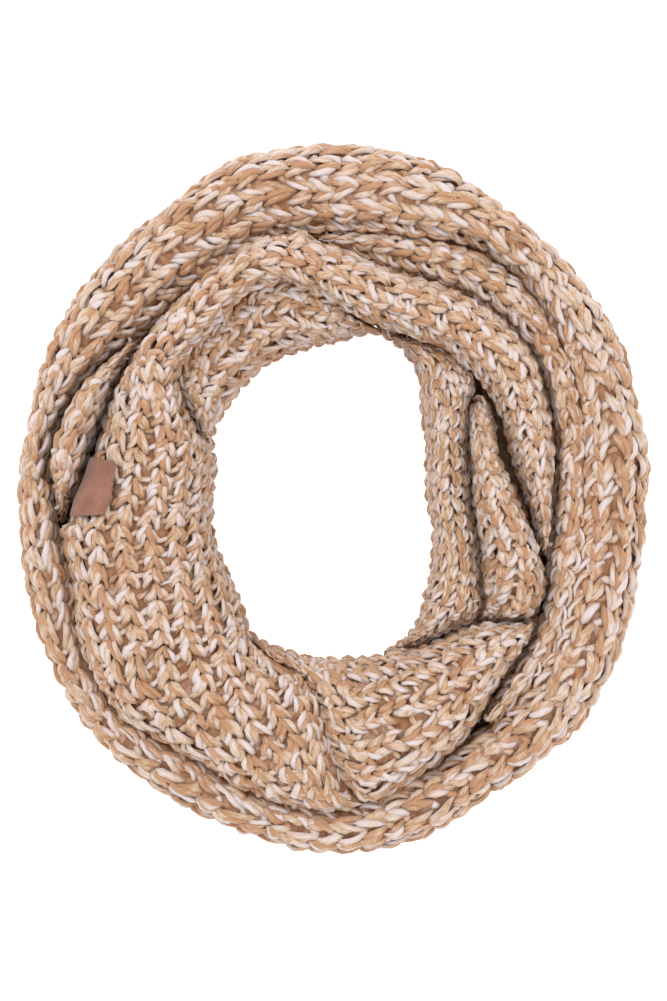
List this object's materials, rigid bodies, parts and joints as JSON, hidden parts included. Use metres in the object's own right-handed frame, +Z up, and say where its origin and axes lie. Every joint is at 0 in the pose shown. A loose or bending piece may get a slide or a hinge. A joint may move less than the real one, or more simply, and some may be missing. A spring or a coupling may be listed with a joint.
{
  "type": "chunky knit infinity scarf, doubled into a ring",
  "caption": "Chunky ribbed infinity scarf of marled yarn, wound double into a ring and laid flat, with a plain suede tab.",
  "frame": {"origin": "on the resting plane, under the middle of the ring's box", "axes": "+Z up out of the surface that it lies on, +Y along the ring's longest way, the tab on the -X side"},
  "size_m": [0.3166, 0.3563, 0.08],
  "materials": {
    "knit": "matte marled cream and tan yarn",
    "label_suede": "matte suede"
  },
  "bodies": {
    "root": {"outer_loop": "knit", "middle_fold": "knit", "left_fold": "knit", "front_loop": "knit", "inner_wall": "knit", "right_inner": "knit", "turned_fold": "knit", "lower_band": "knit", "hidden_layers": "knit", "label": "label_suede"}
  },
  "joints": []
}
